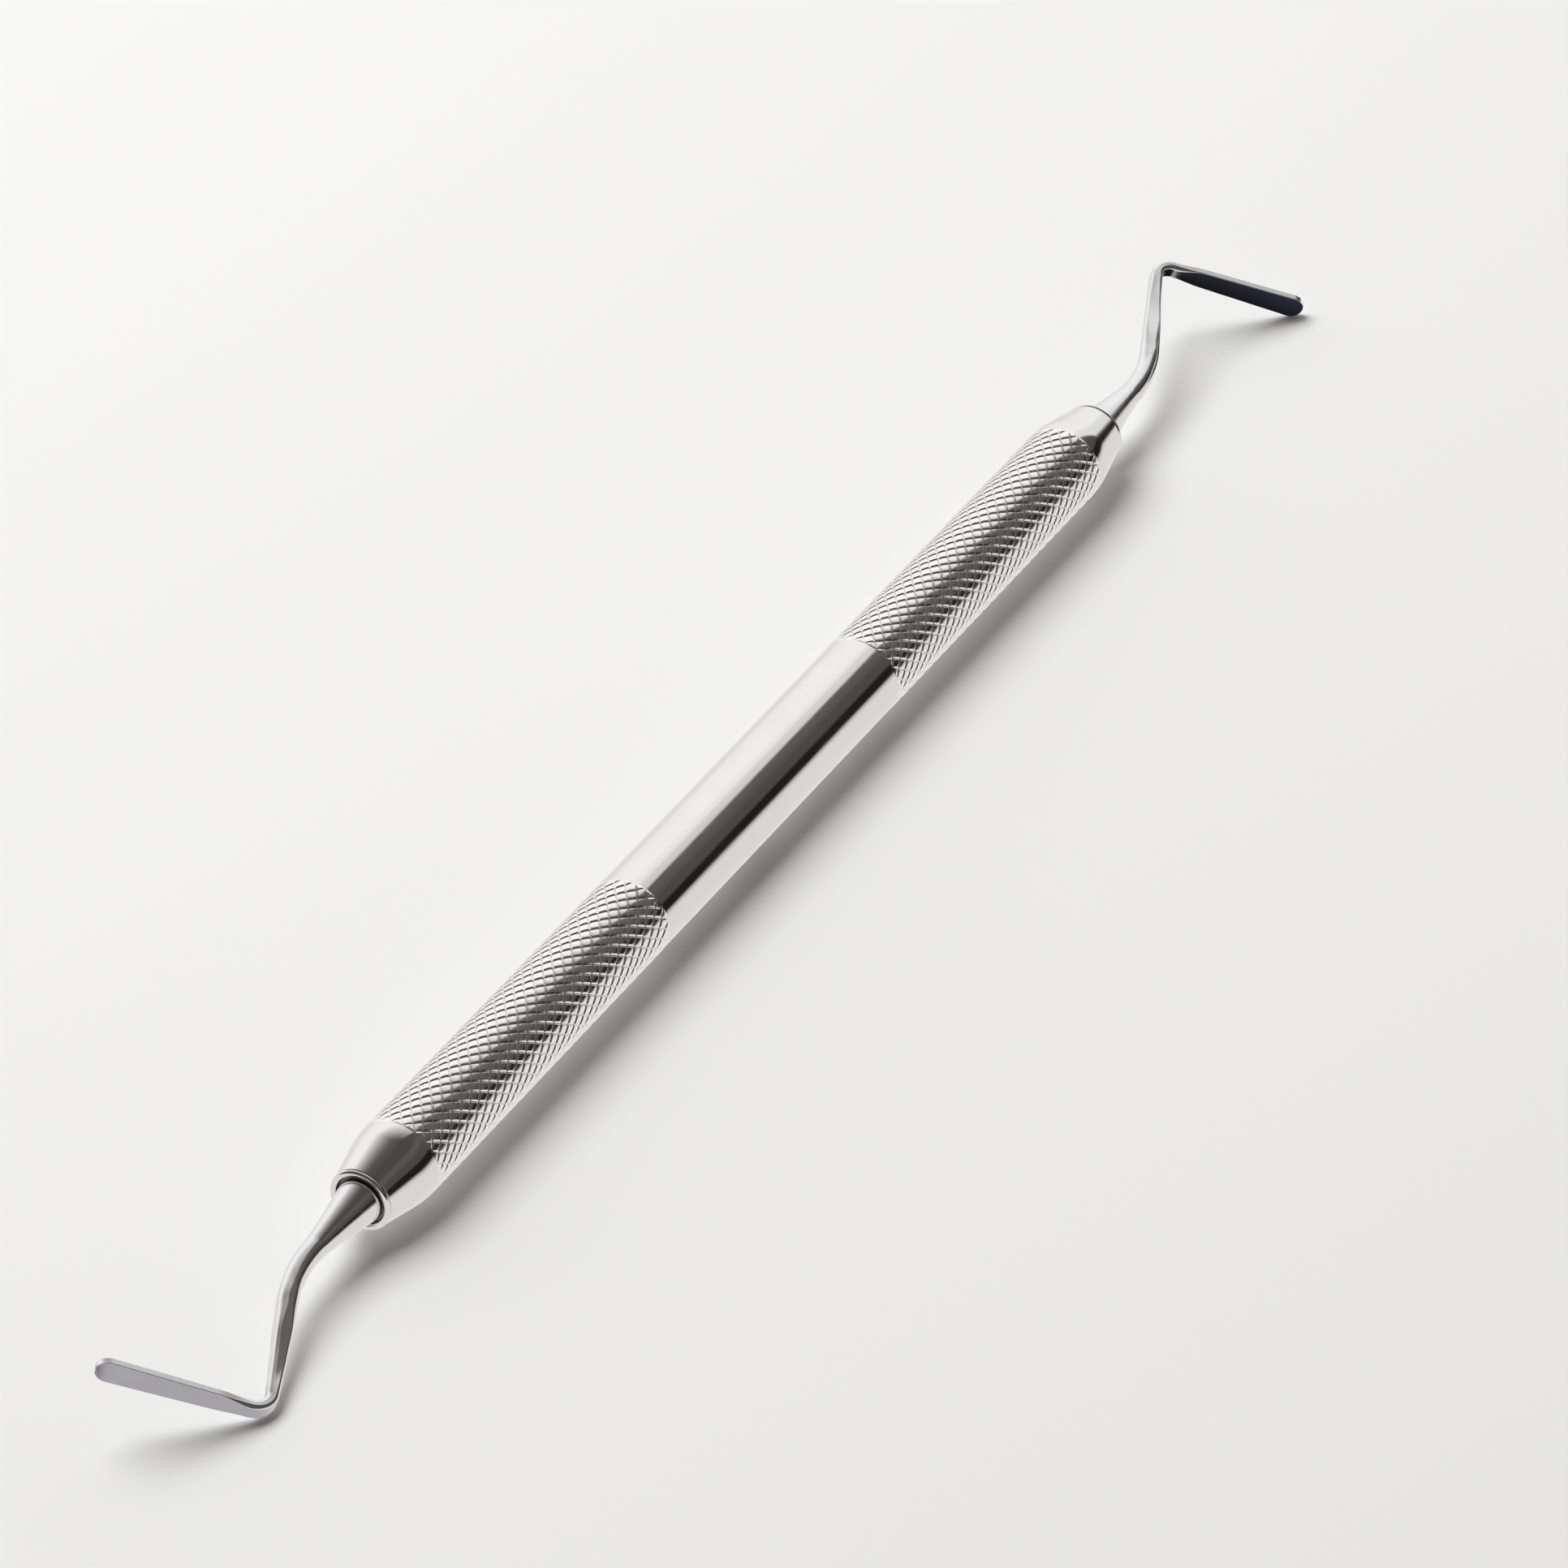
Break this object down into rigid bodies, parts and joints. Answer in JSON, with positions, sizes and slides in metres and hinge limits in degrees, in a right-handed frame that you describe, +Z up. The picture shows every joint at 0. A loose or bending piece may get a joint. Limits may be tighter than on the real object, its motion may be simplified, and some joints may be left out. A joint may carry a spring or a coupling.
{
  "type": "gingival cord packer",
  "caption": "Double-ended dental cord packer: a round knurled handle with a bent paddle blade at each end.",
  "frame": {"origin": "on the surface it lies on, under the middle of the handle: the centre of the bounding box's base", "axes": "+X along the handle towards the right working end, +Z up, +Y away from the viewer"},
  "size_m": [0.165, 0.01, 0.0067],
  "materials": {
    "polished_steel": "polished stainless steel, diamond knurl in two bands",
    "satin_steel": "satin stainless steel, blades finely ground"
  },
  "bodies": {
    "root": {"handle": "polished_steel", "left_working_end": "satin_steel", "right_working_end": "satin_steel"}
  },
  "joints": []
}
